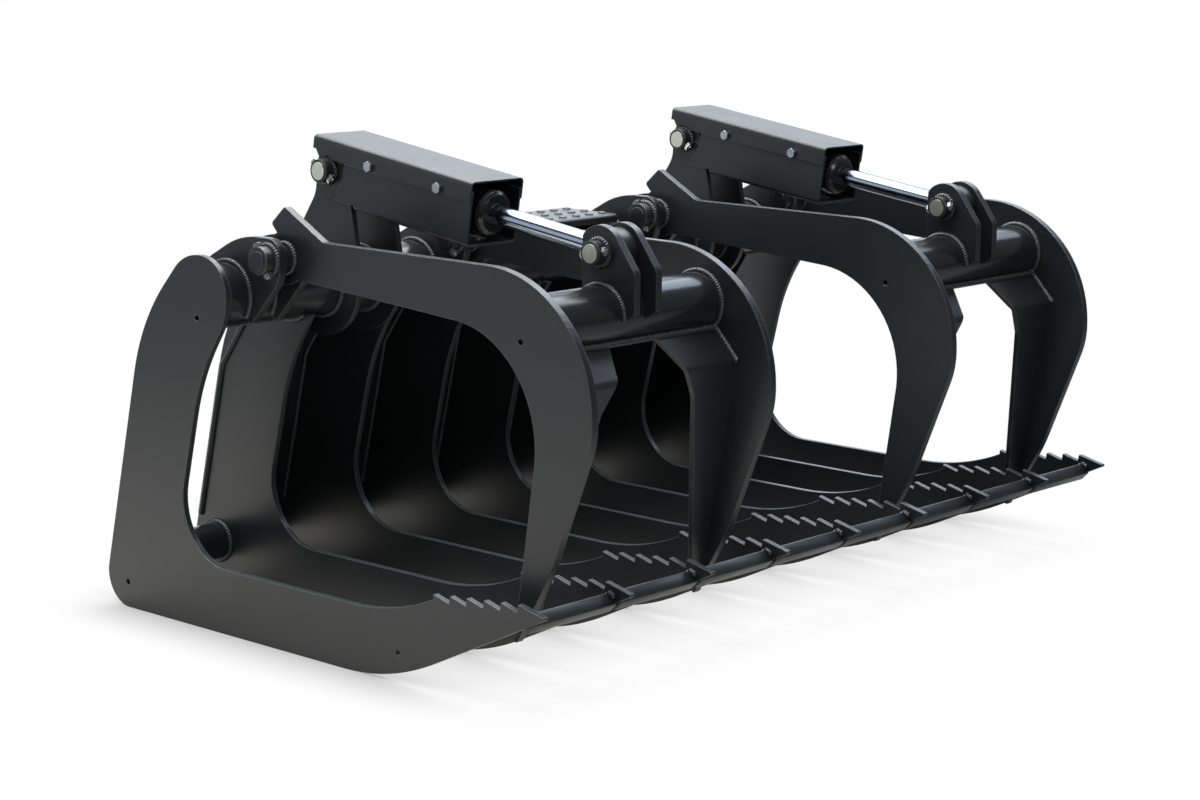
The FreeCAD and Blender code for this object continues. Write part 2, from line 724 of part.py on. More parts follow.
def base_pin(centre):
    start, bolt_x, end = base_pin_span(centre)
    pin = rod_x(CYL_PIN_R, start - 2, end, BASE_Y, BASE_Z)
    return pin.cut(cross_hole(bolt_x, BASE_Y, BASE_Z, BASE_BOLT_ANGLE, CYL_BOSS_R))


def base_bolt(centre):
    return cross_bolt(base_pin_span(centre)[1], BASE_Y, BASE_Z, BASE_BOLT_ANGLE, CYL_BOSS_R)


# Clamps

def clamp_corners():
    return [
        *HORN,
        (CLAMP_KINK_Y, CLAMP_TOP_Z, CLAMP_KINK_R),
        (CLAMP_FRONT_Y, CLAMP_TOP_Z, CLAMP_BROW_R),
        (CLAMP_FRONT_Y, CLAMP_CHIN_Z, CLAMP_CHIN_R),
        (CLAMP_JAW_Y, CLAMP_JAW_Z, CLAMP_JAW_R),
        (CLAMP_TIP_Y, CLAMP_TIP_Z, CLAMP_TIP_R),
        (CLAMP_INNER_Y, CLAMP_INNER_Z, CLAMP_INNER_R),
        *lobe(PIVOT_Y, PIVOT_Z, CLAMP_LOBE_R, LOBE_START_ANGLE, LOBE_END_ANGLE),
    ]


def clamp_tine(tine_x):
    x0 = tine_x - CLAMP_T / 2
    shape = plate(clamp_corners(), x0, CLAMP_T)
    shape = shape.cut(rod_x(HUB_R + BOLT_PLAY, x0 - 1, x0 + CLAMP_T + 1, PIVOT_Y, PIVOT_Z))
    return shape.cut(rod_x(JIG_HOLE_R, x0 - 1, x0 + CLAMP_T + 1, *CLAMP_HOLE))


def clamp_hub(tine_x):
    at = pivot_layout(tine_x)
    return tube_x(HUB_R, PIVOT_PIN_R + RUNNING, at["hub0"], at["hub1"], PIVOT_Y, PIVOT_Z)


def clamp_span(centre):
    half = CLAMP_PITCH / 2 - CLAMP_T / 2
    return centre - half, centre + half


def cross_tube(centre):
    x0, x1 = clamp_span(centre)
    return tube_x(CROSS_R, CROSS_R - CROSS_WALL, x0, x1, CROSS_Y, CROSS_Z)


def stiffener(centre):
    """Folded plate: a web welded under the cross tube and a tapering leg inside each tine."""
    x0, x1 = clamp_span(centre)
    seat_r = CROSS_R + WELD_GAP
    seat = (CROSS_Y + seat_r * cos(STIFF_SEAT_ANGLE), CROSS_Z + seat_r * sin(STIFF_SEAT_ANGLE))
    path = ((STIFF_FOOT_Y, STIFF_FOOT_Z), (BEND_Y, BEND_Z), seat)
    sheet = plate(strip(path[::-1], STIFF_T, 8), x0, x1 - x0)
    sheet = sheet.cut(rod_x(seat_r, x0 - 1, x1 + 1, CROSS_Y, CROSS_Z))
    right = [V(centre + x, 0, z) for x, z in ARCH]
    left = [V(centre - x, 0, z) for x, z in ARCH[::-1]]
    front = min(y for y, _ in path) - 2 * STIFF_T
    rear = max(y for y, _ in path) + 2 * STIFF_T
    opening = Part.Face(Part.makePolygon(right + left + right[:1])).extrude(V(0, rear - front, 0))
    opening.translate(V(0, front, 0))
    return sheet.cut(opening)


def lug(x0):
    back = math.degrees(math.acos((LUG_BACK_Y - ROD_PIN_Y) / LUG_R))
    front = tangent_bearing(ROD_PIN_Y, ROD_PIN_Z, LUG_R, (LUG_NOSE_Y, LUG_NOSE_Z))
    body = plate([
        (LUG_BACK_Y, CROSS_Z, 0),
        *lobe(ROD_PIN_Y, ROD_PIN_Z, LUG_R, back, front),
        (LUG_NOSE_Y, LUG_NOSE_Z, 24),
        (LUG_NOSE_Y, LUG_FOOT_Z, 6),
        (CROSS_Y - CROSS_R * 0.7, CROSS_Z - 14, 0),
    ], x0, LUG_T)
    body = body.cut(rod_x(CROSS_R + WELD_GAP, x0 - 1, x0 + LUG_T + 1, CROSS_Y, CROSS_Z))
    body = body.cut(rod_x(CYL_PIN_R + RUNNING, x0 - 1, x0 + LUG_T + 1, ROD_PIN_Y, ROD_PIN_Z))
    return max(body.Solids, key=lambda solid: solid.Volume)


def rod_pin_span(centre):
    near = centre - LUG_GAP / 2 - LUG_T - CYL_BOSS_LONG
    return near, near + CYL_BOSS_LONG / 2, centre + LUG_GAP / 2 + LUG_T + PIN_TAIL


def lugs(centre):
    near_x = centre - LUG_GAP / 2 - LUG_T
    start, bolt_x, _ = rod_pin_span(centre)
    boss = tube_x(CYL_BOSS_R, CYL_PIN_R + RUNNING, start, near_x, ROD_PIN_Y, ROD_PIN_Z)
    near = lug(near_x).fuse(boss)
    near = near.cut(cross_hole(bolt_x, ROD_PIN_Y, ROD_PIN_Z, ROD_BOLT_ANGLE, CYL_BOSS_R))
    return [near, lug(centre + LUG_GAP / 2)]


def rod_pin(centre):
    start, bolt_x, end = rod_pin_span(centre)
    pin = rod_x(CYL_PIN_R, start - 2, end, ROD_PIN_Y, ROD_PIN_Z)
    return pin.cut(cross_hole(bolt_x, ROD_PIN_Y, ROD_PIN_Z, ROD_BOLT_ANGLE, CYL_BOSS_R))


def rod_bolt(centre):
    return cross_bolt(rod_pin_span(centre)[1], ROD_PIN_Y, ROD_PIN_Z, ROD_BOLT_ANGLE, CYL_BOSS_R)


# Cylinders and guards, modelled along -Y from the base pin and then placed

def place(shape, centre):
    shape.rotate(V(0, 0, 0), V(1, 0, 0), CYL_TILT)
    shape.translate(V(centre, BASE_Y, BASE_Z))
    return shape


def along_u(radius, u0, u1):
    return Part.makeCylinder(radius, u1 - u0, V(0, -u0, 0), V(0, -1, 0))


def u_box(x_half, u0, u1, w0, w1):
    return box(-x_half, x_half, -u1, -u0, w0, w1)


def u_plate(corners, x_half):
    return plate([(-u, w, *rest) for u, w, *rest in corners], -x_half, 2 * x_half)


def port_boss(u):
    return Part.makeCylinder(PORT_BOSS_R, BARREL_R + PORT_DEEP / 2, V(0, -u, 0), V(0, 0, -1))


def port_hole(u):
    top = BARREL_R - PORT_DEEP / 2 - 0.5
    return Part.makeCylinder(PORT_R, PORT_DEEP + 1, V(0, -u, -top), V(0, 0, -1))


def saddle(u):
    block = u_box(TROUGH_INNER - WELD_GAP, u - SADDLE_LONG / 2, u + SADDLE_LONG / 2, SADDLE_LOW, TROUGH_SHELF)
    return block


def bolt_line(u, radius):
    """Line of a bolt hole through both sides of the guard."""
    reach = 2 * TROUGH_INNER
    return rod_x(radius, -reach, reach, -u, GUARD_BOLT_W)


def barrel(centre):
    body = along_u(BARREL_R, BARREL_START, BARREL_END)
    eye = rod_x(EYE_R, -EYE_HALF, EYE_HALF, 0, 0)
    neck = u_box(EYE_R - 4, 0, BARREL_START + 2, -EYE_R + 4, EYE_R - 4)
    body = body.fuse([eye, neck, port_boss(BASE_PORT_U), port_boss(HEAD_PORT_U)])
    for u in GUARD_BOLTS:
        body = body.fuse(saddle(u))
    body = body.cut(along_u(BORE_R, BARREL_START + BARREL_CAP, BARREL_END + 1))
    body = body.cut(rod_x(CYL_PIN_R + RUNNING, -EYE_HALF - 1, EYE_HALF + 1, 0, 0))
    for u in (BASE_PORT_U, HEAD_PORT_U):
        body = body.cut(port_hole(u))
    for u in GUARD_BOLTS:
        drill = bolt_line(u, M12_R + RUNNING)
        body = body.cut(drill.cut(u_box(TROUGH_INNER - M12_REACH, u - 20, u + 20, 0, 70)))
    return place(body, centre)


def gland(centre):
    nose = BARREL_END + GLAND_LIP - GLAND_CHAMFER
    lip_ring = along_u(GLAND_R, BARREL_END, nose)
    bevel = Part.makeCone(GLAND_R, GLAND_R - GLAND_CHAMFER, GLAND_CHAMFER, V(0, -nose, 0), V(0, -1, 0))
    spigot = along_u(BORE_R - RUNNING, BARREL_END - GLAND_DEEP, BARREL_END)
    body = lip_ring.fuse([bevel, spigot])
    return place(body.cut(along_u(ROD_R + RUNNING, 0, BARREL_END + 50)), centre)


def cylinder_rod(centre):
    shaft = along_u(ROD_R, PISTON_AT + PISTON_LONG, CYL_RUN - ROD_EYE_BORE_R)
    spigot = along_u(SPIGOT_R, PISTON_AT - 6, PISTON_AT + PISTON_LONG)
    eye = rod_x(ROD_EYE_R, -ROD_EYE_HALF, ROD_EYE_HALF, -CYL_RUN, 0)
    body = shaft.fuse([spigot, eye])
    return place(body.cut(rod_x(ROD_EYE_BORE_R, -ROD_EYE_HALF - 1, ROD_EYE_HALF + 1, -CYL_RUN, 0)), centre)


def piston(centre):
    body = along_u(BORE_R - RUNNING, PISTON_AT, PISTON_AT + PISTON_LONG)
    return place(body.cut(along_u(SPIGOT_R + RUNNING, PISTON_AT - 1, PISTON_AT + PISTON_LONG + 1)), centre)


def folded_channel(half, top, bottom, thickness, u0, u1, bend):
    """U channel open at the top: its section in X and w, folded at the two lower corners."""
    w = [(-half, top, 0), (-half, bottom, bend), (half, bottom, bend), (half, top, 0),
         (half - thickness, top, 0), (half - thickness, bottom + thickness, bend - thickness),
         (thickness - half, bottom + thickness, bend - thickness), (thickness - half, top, 0)]
    section = Part.Face(outline(w))
    section.rotate(V(0, 0, 0), V(0, 0, 1), -SQUARE)
    section.translate(V(0, -u0, 0))
    return section.extrude(V(0, u0 - u1, 0))


def guard_trough(centre):
    half = TROUGH_INNER + TROUGH_T
    start = min(u for u, _ in TROUGH_CHEEK)
    body = folded_channel(half, TROUGH_SHELF, TROUGH_FLOOR, TROUGH_T, start, GUARD_END, TROUGH_BEND)
    rear = [*TROUGH_CHEEK, (start - 20, -80.0), (start - 20, 60.0)]
    body = body.cut(u_plate(rear, half + 1))
    mouth_top = TROUGH_FLOOR + TROUGH_BEND + 1
    body = body.cut(u_box(half + 1, start - 1, TROUGH_MOUTH, TROUGH_FLOOR - 5, mouth_top))
    for u in (BASE_PORT_U, HEAD_PORT_U):
        body = body.cut(Part.makeCylinder(HOSE_OPENING_R, TROUGH_T + 2, V(0, -u, TROUGH_FLOOR - 1)))
    for u in GUARD_BOLTS:
        body = body.cut(bolt_line(u, M12_R + BOLT_PLAY))
    return place(body, centre)


def guard_cover(centre):
    half = TROUGH_INNER + TROUGH_T + WELD_GAP + COVER_T
    body = folded_channel(half, -COVER_HEM, -COVER_TOP, COVER_T, COVER_BACK, GUARD_END, TROUGH_BEND)
    body.rotate(V(0, 0, 0), V(0, 1, 0), SQUARE * 2)
    hem = [(COVER_BACK - 1, COVER_BACK_HEM, 0), (COVER_BACK + 8, COVER_BACK_HEM, 0), (0, 0, 0),
           (0, COVER_HEM - 5, 0), (COVER_BACK - 1, COVER_HEM - 5, 0)]
    body = body.cut(u_plate(hem, half + 1))
    body = body.cut(rod_x(COVER_NOTCH_R, -half - 1, half + 1, 0, 0))
    for u in GUARD_BOLTS:
        body = body.cut(bolt_line(u, M12_R + BOLT_PLAY))
    return place(body, centre)


def guard_bolts(centre):
    half = TROUGH_INNER + TROUGH_T + WELD_GAP + COVER_T
    bolts = []
    for u in GUARD_BOLTS:
        for side in (-1, 1):
            bolt = hex_bolt(M12_R, M12_FLATS, M12_HEAD, M12_REACH)
            bolts.append(place(aim(bolt, V(side * half, -u, GUARD_BOLT_W), V(side, 0, 0)), centre))
    return bolts


def export(name, shape):
    if isinstance(shape, (list, tuple)):
        shape = Part.Compound(list(shape))
    shape.exportStep(f"parts/{name}.step")


def fixed_frame():
    parts = tines()
    parts["torque_tube"] = torque_tube()
    parts["lower_corner_tube_left"] = corner_tube(-1)
    parts["lower_corner_tube_right"] = corner_tube(1)
    parts["front_crossbar"] = front_crossbar()
    parts["back_panel"] = back_panel()
    parts["attach_plate"] = attach_plate()
    parts["attach_top_lip"] = top_lip()
    parts["attach_bottom_lip"] = bottom_lip()
    parts["attach_side_guides"] = side_guides()
    parts["step_plate"] = step_plate()
    parts["step_ribs"] = step_ribs()
    pins = []
    bolts = []
    for side, centre in SIDES:
        for place_name, offset in PLACES:
            x = centre + offset
            parts[f"{side}_{place_name}_pivot_ears"] = pivot_ears(x)
            pins.append(pivot_pin(x))
            bolts += pivot_bolt(x)
        parts[f"{side}_cylinder_brackets"] = brackets(centre)
        parts[f"{side}_base_pin"] = base_pin(centre)
        bolts += base_bolt(centre)
    parts["pivot_pins"] = pins
    parts["pin_bolts"] = bolts
    return parts


def clamp(side, centre):
    parts = {}
    for place_name, offset in PLACES:
        parts[f"{side}_clamp_{place_name}_tine"] = clamp_tine(centre + offset)
    parts[f"{side}_clamp_hubs"] = [clamp_hub(centre + offset) for _, offset in PLACES]
    parts[f"{side}_clamp_cross_tube"] = cross_tube(centre)
    parts[f"{side}_clamp_stiffener"] = stiffener(centre)
    parts[f"{side}_rod_lugs"] = lugs(centre)
    parts[f"{side}_rod_pin"] = rod_pin(centre)
    parts[f"{side}_rod_pin_bolt"] = rod_bolt(centre)
    return parts


def cylinder(side, centre):
    return {
        f"{side}_cylinder_barrel": barrel(centre),
        f"{side}_cylinder_gland": gland(centre),
        f"{side}_cylinder_rod": cylinder_rod(centre),
        f"{side}_piston": piston(centre),
        f"{side}_guard_trough": guard_trough(centre),
        f"{side}_guard_cover": guard_cover(centre),
        f"{side}_guard_bolts": guard_bolts(centre),
    }


def main():
    os.makedirs("parts", exist_ok=True)
    parts = fixed_frame()
    for side, centre in SIDES:
        parts.update(clamp(side, centre))
        parts.update(cylinder(side, centre))
    for name, shape in parts.items():
        export(name, shape)


main()
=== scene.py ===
import bpy
import json
import math
from mathutils import Matrix, Vector


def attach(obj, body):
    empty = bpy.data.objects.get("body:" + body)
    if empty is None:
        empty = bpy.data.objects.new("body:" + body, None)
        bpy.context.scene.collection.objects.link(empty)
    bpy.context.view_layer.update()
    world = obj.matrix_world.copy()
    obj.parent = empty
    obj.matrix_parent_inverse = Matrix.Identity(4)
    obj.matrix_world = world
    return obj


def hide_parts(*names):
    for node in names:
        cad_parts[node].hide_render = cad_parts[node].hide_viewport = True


# Root grapple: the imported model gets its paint, chrome and zinc. Its clamp plates are cut closer to
# the photograph, the back edges of two tines and the bars of its front crossbar are made here, and
# its weld beads are added.

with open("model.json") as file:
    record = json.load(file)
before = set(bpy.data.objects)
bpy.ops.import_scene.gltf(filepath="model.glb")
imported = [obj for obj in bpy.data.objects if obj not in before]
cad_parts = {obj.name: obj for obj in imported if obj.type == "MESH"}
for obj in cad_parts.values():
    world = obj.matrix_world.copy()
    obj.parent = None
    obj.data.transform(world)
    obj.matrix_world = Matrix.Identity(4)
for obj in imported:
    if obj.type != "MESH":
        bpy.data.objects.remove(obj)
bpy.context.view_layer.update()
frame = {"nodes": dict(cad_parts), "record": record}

MM = 0.001

# Places taken from the part, in millimetres. A tube is its y, its z and its radius, and a point is
# its y and its z.
TINE_XS = [(i - 4) * 228.0 for i in range(9)]
TINE_HALF = 6.0
TORQUE = (197.0, 652.0, 63.5)
CORNER = (425.0, 100.0, 38.0)
CROSS = (-525.0, 662.0, 57.15)
PIVOT = (82.5, 730.0)
BASE_PIN = (176.0, 877.0)
ROD_PIN = (-520.0, 779.0)
CLAMPS = (("left", -548.0), ("right", 548.0))
CLAMP_HALF_PITCH = 250.0
CLAMP_HALF = 8.0
OUTER_EAR_GAP = 36.0
INNER_EAR_GAP = 12.0
EAR_HALF = 8.0
BRACKET_HALF_PITCH = 56.0
BRACKET_HALF = 6.0
LUG_HALF_PITCH = 30.0
LUG_HALF = 8.0
ROD_EYE_R = 43.0
CYLINDER_TILT = math.radians(8.015)

# The back panel's inner face, from its knee to the tines' heads
KNEE = (406.1, 470.0)
HEAD = (248.9, 689.2)
PANEL_T = 8.0
LEAN = math.radians(12.7)

# The shoulder of the second and eighth tines, behind the upper panel
SHOULDER_POINT = (300.0, 675.0)
SHOULDER_R = 400.0
SHOULDER_LEAN = math.radians(42.0)

# A clamp tine's inner edge: its two lines meet at the corner, and the bend rounds it
INNER_CORNER = (-598.6, 644.6)
LOBE_END = (49.5, 689.8)
CLAMP_TIP = (-520.0, 76.0)
INNER_BEND_R = 215.0

# The stiffener's arch: half its width and its height at the foot and at the top, where it stands
# in y, and the depth of the block that cuts it
ARCH = ((99.0, 552.0), (66.0, 616.0))
ARCH_Y = -600.0
ARCH_DEPTH = 160.0

# A bar of the front crossbar: its corners round the section, and how far its edges are eased
BAR_SECTION = [(-632.0, 171.0), (-648.5, 184.5), (-663.0, 179.0), (-670.0, 171.0), (-640.0, 157.5)]
BAR_ROUND = 2.0

# Blocks to be trimmed: large enough to reach past the shape that is left of them
BACK_EDGE_BLOCK = 400.0
BEND_BLOCK = 340.0
BAR_BLOCK = 80.0

# Weld beads: the size of one ripple, how flat it is pressed, the step from ripple to ripple, and
# how far a bead's middle stands off a plate's or a tube's face, and off the face round a boss
BEAD = 7.0
PRESSED = 0.62
STEP = 5.2
SEAT = 1.5
BOSS_SEAT = 1.0

# Where beads run. On a tube: the bearing where a bead starts and its sweep, in degrees
TINE_SADDLE = (236, 68)
EAR_SADDLE = (46, 172)
BRACKET_RING = (46, 340)
LUG_SADDLE = (38, 146)
PIVOT_BOSS_R = 28.0
PIN_BOSS_R = 24.0
HUB_R = 27.5
ROD_BEAD = (41.5, 20.0)
PANEL_TOP = (HEAD[0] + 2, HEAD[1] + 4)
PANEL_FOOT_Z = 150.0
PANEL_BEAD_END = 0.62
STIFFENER_SEAM = (-569.0, 618.0)
STIFFENER_FLANK = ((-622, 560), (-566, 620))
STIFFENER_LEG = ((-612, 558), (-538, 140))

# Facets that meet at less than this are drawn smooth
SMOOTH_ANGLE = math.radians(25)

# Stage, in metres: the floor's size and the reach of its painted contact shadow, and the photograph's
# camera
FLOOR_SIZE = 160.0
FLOOR_SHADE = 0.17
CAMERA_TURN = (48.547, 10.531, 0.793)
CAMERA_PLACE = (-4.2303, -3.7455, 1.4112)
CAMERA_LENS = 81.0
CAMERA_FILM = 36.0

# Soft lamps: name, place, aim, width, height, power and colour
LAMPS = (
    ("overhead", (0.0, 0.6, 4.0), (0, 0, 0.4), 5.5, 4.0, 430, "FFFFFF"),
    ("back_wall", (5.3, 4.7, 2.8), (0, 0, 2.4), 9.0, 5.6, 235, "EEF5FF"),
    ("left_wall", (-5.5, 3.6, 1.7), (0, 0, 0.6), 6.0, 3.2, 62, "DCE9F7"),
    ("front_fill", (-1.5, -6.0, 3.4), (0, 0, 0.5), 2.5, 1.6, 60, "FFFFFF"),
    ("front_right", (4.2, 0.0, 4.4), (0, -0.4, 0.6), 3.2, 2.4, 105, "D6E6F8"),
)


# Tools

def deselect():
    bpy.ops.object.select_all(action="DESELECT")


def settle():
    """Puts the selected pieces' places into their meshes."""
    bpy.ops.object.transform_apply(location=True, rotation=True, scale=True)


def join(pieces, name, body, material):
    """Makes one named piece of several, and lets it ride on its body."""
    deselect()
    for piece in pieces:
        piece.select_set(True)
    bpy.context.view_layer.objects.active = pieces[0]
    if len(pieces) > 1:
        bpy.ops.object.join()
    piece = bpy.context.object
    piece.name = name
    piece.data.name = name
    piece.data.materials.clear()
    piece.data.materials.append(material)
    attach(piece, body)
    return piece


def millimetre_cube(middle, size):
    """A block at its size and place in millimetres, open in edit mode."""
    deselect()
    bpy.ops.mesh.primitive_cube_add(size=1.0, location=Vector(middle) * MM)
    block = bpy.context.object
    block.scale = Vector(size) * MM
    settle()
    bpy.ops.object.mode_set(mode="EDIT")
    return block


def trim(point, outward):
    """Cuts the block in hand by a plane and closes the cut; what lies outward is dropped."""
    bpy.ops.mesh.select_all(action="SELECT")
    bpy.ops.mesh.bisect(plane_co=Vector(point) * MM, plane_no=outward, use_fill=True,
                        clear_outer=True)


def trim_round(first, first_angle, second, second_angle, radius):
    """Trims the block in hand along X by two lines and the arc between them. A line is a point
    and the angle of its outward side."""
    def outward(angle):
        return Vector((math.cos(angle), math.sin(angle)))
    normals = (outward(first_angle), outward(second_angle))
    reach = Vector([Vector(point).dot(normal) - radius
                    for point, normal in zip((first, second), normals)])
    centre = Matrix(normals).inverted() @ reach
    steps = math.ceil(abs(second_angle - first_angle) / math.radians(5))
    for step in range(steps + 1):
        normal = outward(first_angle + (second_angle - first_angle) * step / steps)
        trim((0, *(centre + normal * radius)), (0, *normal))


# Back edges of the second and eighth tines

def back_edge(x):
    """The stretch of a tine's back edge that stands behind the upper back panel, up to its head."""
    knee, head = Vector(KNEE), Vector(HEAD)
    up = (head - knee).normalized()
    out = Vector((up.y, -up.x))
    piece = millimetre_cube((x, *(knee + head) / 2),
                            (2 * TINE_HALF, BACK_EDGE_BLOCK, BACK_EDGE_BLOCK))
    trim((0, *(knee + out * PANEL_T)), (0, *-out))
    trim((0, *head), (0, *up))
    back_point = knee + Vector((math.cos(LEAN), math.sin(LEAN))) * PANEL_T
    trim_round(back_point, LEAN, SHOULDER_POINT, SHOULDER_LEAN, SHOULDER_R)
    bpy.ops.object.mode_set(mode="OBJECT")
    return piece


def back_edges():
    pieces = [back_edge(side * TINE_XS[-2]) for side in (-1, 1)]
    join(pieces, "tine_back_edges", "frame", PAINT)


# Clamp plates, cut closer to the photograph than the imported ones

def cut_plate(node, cutter, body):
    """Puts a copy of a packed plate, less the cutter, in the plate's place."""
    bpy.ops.object.mode_set(mode="OBJECT")
    piece = bpy.data.objects.new(node + "_cut", frame["nodes"][node].data.copy())
    bpy.context.scene.collection.objects.link(piece)
    deselect()
    piece.select_set(True)
    bpy.context.view_layer.objects.active = piece
    bpy.ops.object.mode_set(mode="EDIT")
    bpy.ops.mesh.select_all(action="SELECT")
    bpy.ops.mesh.remove_doubles(threshold=0.01 * MM)
    bpy.ops.object.mode_set(mode="OBJECT")
    cut = piece.modifiers.new("cut", "BOOLEAN")
    cut.operation = "DIFFERENCE"
    cut.solver = "EXACT"
    cut.object = cutter
    bpy.ops.object.modifier_apply(modifier=cut.name)
    bpy.ops.object.shade_smooth_by_angle(angle=SMOOTH_ANGLE)
    bpy.data.objects.remove(cutter)
    join([piece], node + "_cut", body, PAINT)
    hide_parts(node)


def clamp_bends(side, clamp_x):
    """The tighter inner bend of a clamp's two tines. The leg's side is taken one turn on, so that
    the bend runs the short way from the arm to the leg."""
    corner, lobe, tip = Vector(INNER_CORNER), Vector(LOBE_END), Vector(CLAMP_TIP)
    arm, leg = lobe - corner, tip - corner
    arm_side = math.atan2(arm.y, arm.x) + math.pi / 2
    leg_side = math.atan2(leg.y, leg.x) - math.pi / 2 + 2 * math.pi
    for name, sign in (("outer", -1), ("inner", 1)):
        x = clamp_x + sign * CLAMP_HALF_PITCH
        middle = (x, corner.x + BEND_BLOCK / 2, corner.y - BEND_BLOCK / 4)
        cutter = millimetre_cube(middle, (4 * CLAMP_HALF, BEND_BLOCK, 1.5 * BEND_BLOCK))
        trim_round(INNER_CORNER, arm_side, INNER_CORNER, leg_side, INNER_BEND_R)
        cut_plate(f"{side}_clamp_{name}_tine", cutter, f"{side}_clamp")


def stiffener_arch(side, clamp_x):
    """The arch between the stiffener's legs, which reaches almost to the cross tube."""
    foot, top = ARCH
    middle = (clamp_x, ARCH_Y, (foot[1] + top[1]) / 2)
    cutter = millimetre_cube(middle, (2 * foot[0], ARCH_DEPTH, top[1] - foot[1]))
    rise = Vector((top[0] - foot[0], top[1] - foot[1])).normalized()
    for sign in (-1, 1):
        trim((clamp_x + sign * foot[0], 0, foot[1]), (sign * rise.y, 0, -rise.x))
    cut_plate(f"{side}_clamp_stiffener", cutter, f"{side}_clamp")


def clamp_plates():
    for side, clamp_x in CLAMPS:
        clamp_bends(side, clamp_x)
        stiffener_arch(side, clamp_x)


# Front crossbar, a flat bar with a sloping top in each bay

def crossbar():
    """One bar in each bay, trimmed to its section, with its long edges eased."""
    bars = []
    middle = sum((Vector(corner) for corner in BAR_SECTION), Vector((0, 0))) / len(BAR_SECTION)
    for left, right in zip(TINE_XS, TINE_XS[1:]):
        length = right - left - 2 * TINE_HALF
        bar = millimetre_cube(((left + right) / 2, *middle), (length, BAR_BLOCK, BAR_BLOCK))
        for start, end in zip(BAR_SECTION, BAR_SECTION[1:] + BAR_SECTION[:1]):
            run = Vector(end) - Vector(start)
            trim((0, *start), (0, run.y, -run.x))
        bpy.ops.object.mode_set(mode="OBJECT")
        eased = bar.modifiers.new("eased", "BEVEL")
        eased.width = BAR_ROUND * MM
        eased.segments = 3
        bpy.ops.object.modifier_apply(modifier=eased.name)
        bars.append(bar)
    piece = join(bars, "front_crossbar_bars", "frame", BAR_PAINT)
    bpy.ops.object.shade_smooth_by_angle(angle=SMOOTH_ANGLE)
    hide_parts("front_crossbar")


# Weld beads

def ripple(at, along):
    """One ripple of a bead: a ball pressed flat, square to the bead's run."""
    deselect()
    turn = along.to_track_quat("Z", "Y").to_euler()
    bpy.ops.mesh.primitive_uv_sphere_add(segments=8, ring_count=5, radius=BEAD * MM,
                                         location=at * MM, rotation=turn)
    bpy.context.object.scale = (1.0, 1.0, PRESSED)
    settle()
    bpy.ops.object.mode_set(mode="EDIT")
    bpy.ops.mesh.select_all(action="SELECT")
    bpy.ops.mesh.faces_shade_smooth()
    bpy.ops.object.mode_set(mode="OBJECT")
    return bpy.context.object


def ring_bead(centre, radius, start=0.0, sweep=360.0, axis=(1.0, 0.0, 0.0)):
    """A bead round a tube, from one bearing on for a number of degrees. Bearings start at the
    loader side and turn upwards."""
    axis = Vector(axis).normalized()
    centre = Vector(centre)
    aside = Vector((0, 1, 0)) if abs(axis.y) < 0.9 else Vector((0, 0, 1))
    spoke = (aside - axis * axis.dot(aside)).normalized()
    spoke = Matrix.Rotation(math.radians(start), 3, axis) @ spoke
    count = max(2, round(math.radians(sweep) * radius / STEP))
    bead = ripple(centre + spoke * radius, axis.cross(spoke))
    bpy.ops.object.mode_set(mode="EDIT")
    bpy.ops.mesh.select_all(action="SELECT")
    bpy.ops.mesh.spin(steps=count, dupli=True, angle=-math.radians(sweep) * count / (count + 1),
                      center=centre * MM, axis=axis)
    bpy.ops.object.mode_set(mode="OBJECT")
    return bead


def line_bead(start, end):
    """A straight bead between two points."""
    start, end = Vector(start), Vector(end)
    run = end - start
    count = max(2, round(run.length / STEP))
    bead = ripple(start, run.normalized())
    rows = bead.modifiers.new("run", "ARRAY")
    rows.count = count
    rows.use_relative_offset = False
    rows.use_constant_offset = True
    rows.constant_offset_displace = run / count * MM
    bpy.ops.object.modifier_apply(modifier=rows.name)
    return bead


def faces_of(x, half):
    """The two faces of a plate, each moved out by the bead's seat."""
    return (x - half - SEAT, x + half + SEAT)


def torque_tube_welds():
    y, z, r = TORQUE
    end = TINE_XS[-1] - TINE_HALF - SEAT
    beads = [ring_bead((x, y, z), r + SEAT) for x in (-end, end)]
    for x in TINE_XS[1:-1]:
        for face in faces_of(x, TINE_HALF):
            beads.append(ring_bead((face, y, z), r + SEAT, *TINE_SADDLE))
    inner = TINE_XS[-2]
    beads.append(line_bead((-inner, *PANEL_TOP), (inner, *PANEL_TOP)))
    return beads


def corner_tube_welds():
    y, z, r = CORNER
    beads = []
    for side in (-1, 1):
        for x in (TINE_XS[-2] + TINE_HALF + SEAT, TINE_XS[-1] - TINE_HALF - SEAT):
            beads.append(ring_bead((side * x, y, z), r + SEAT))
    return beads


def ear_xs(clamp_x):
    """Middle planes of the outer and inner ears of a clamp's two pivots."""
    for side in (-1, 1):
        tine = clamp_x + side * CLAMP_HALF_PITCH
        yield tine - CLAMP_HALF - OUTER_EAR_GAP
        yield tine + CLAMP_HALF + INNER_EAR_GAP


def ear_welds():
    y, z, r = TORQUE
    beads = []
    for _, clamp_x in CLAMPS:
        for index, x in enumerate(ear_xs(clamp_x)):
            for face in faces_of(x, EAR_HALF):
                beads.append(ring_bead((face, y, z), r + SEAT, *EAR_SADDLE))
            if index % 2 == 0:
                beads.append(ring_bead((x - EAR_HALF - BOSS_SEAT, *PIVOT), PIVOT_BOSS_R))
    return beads


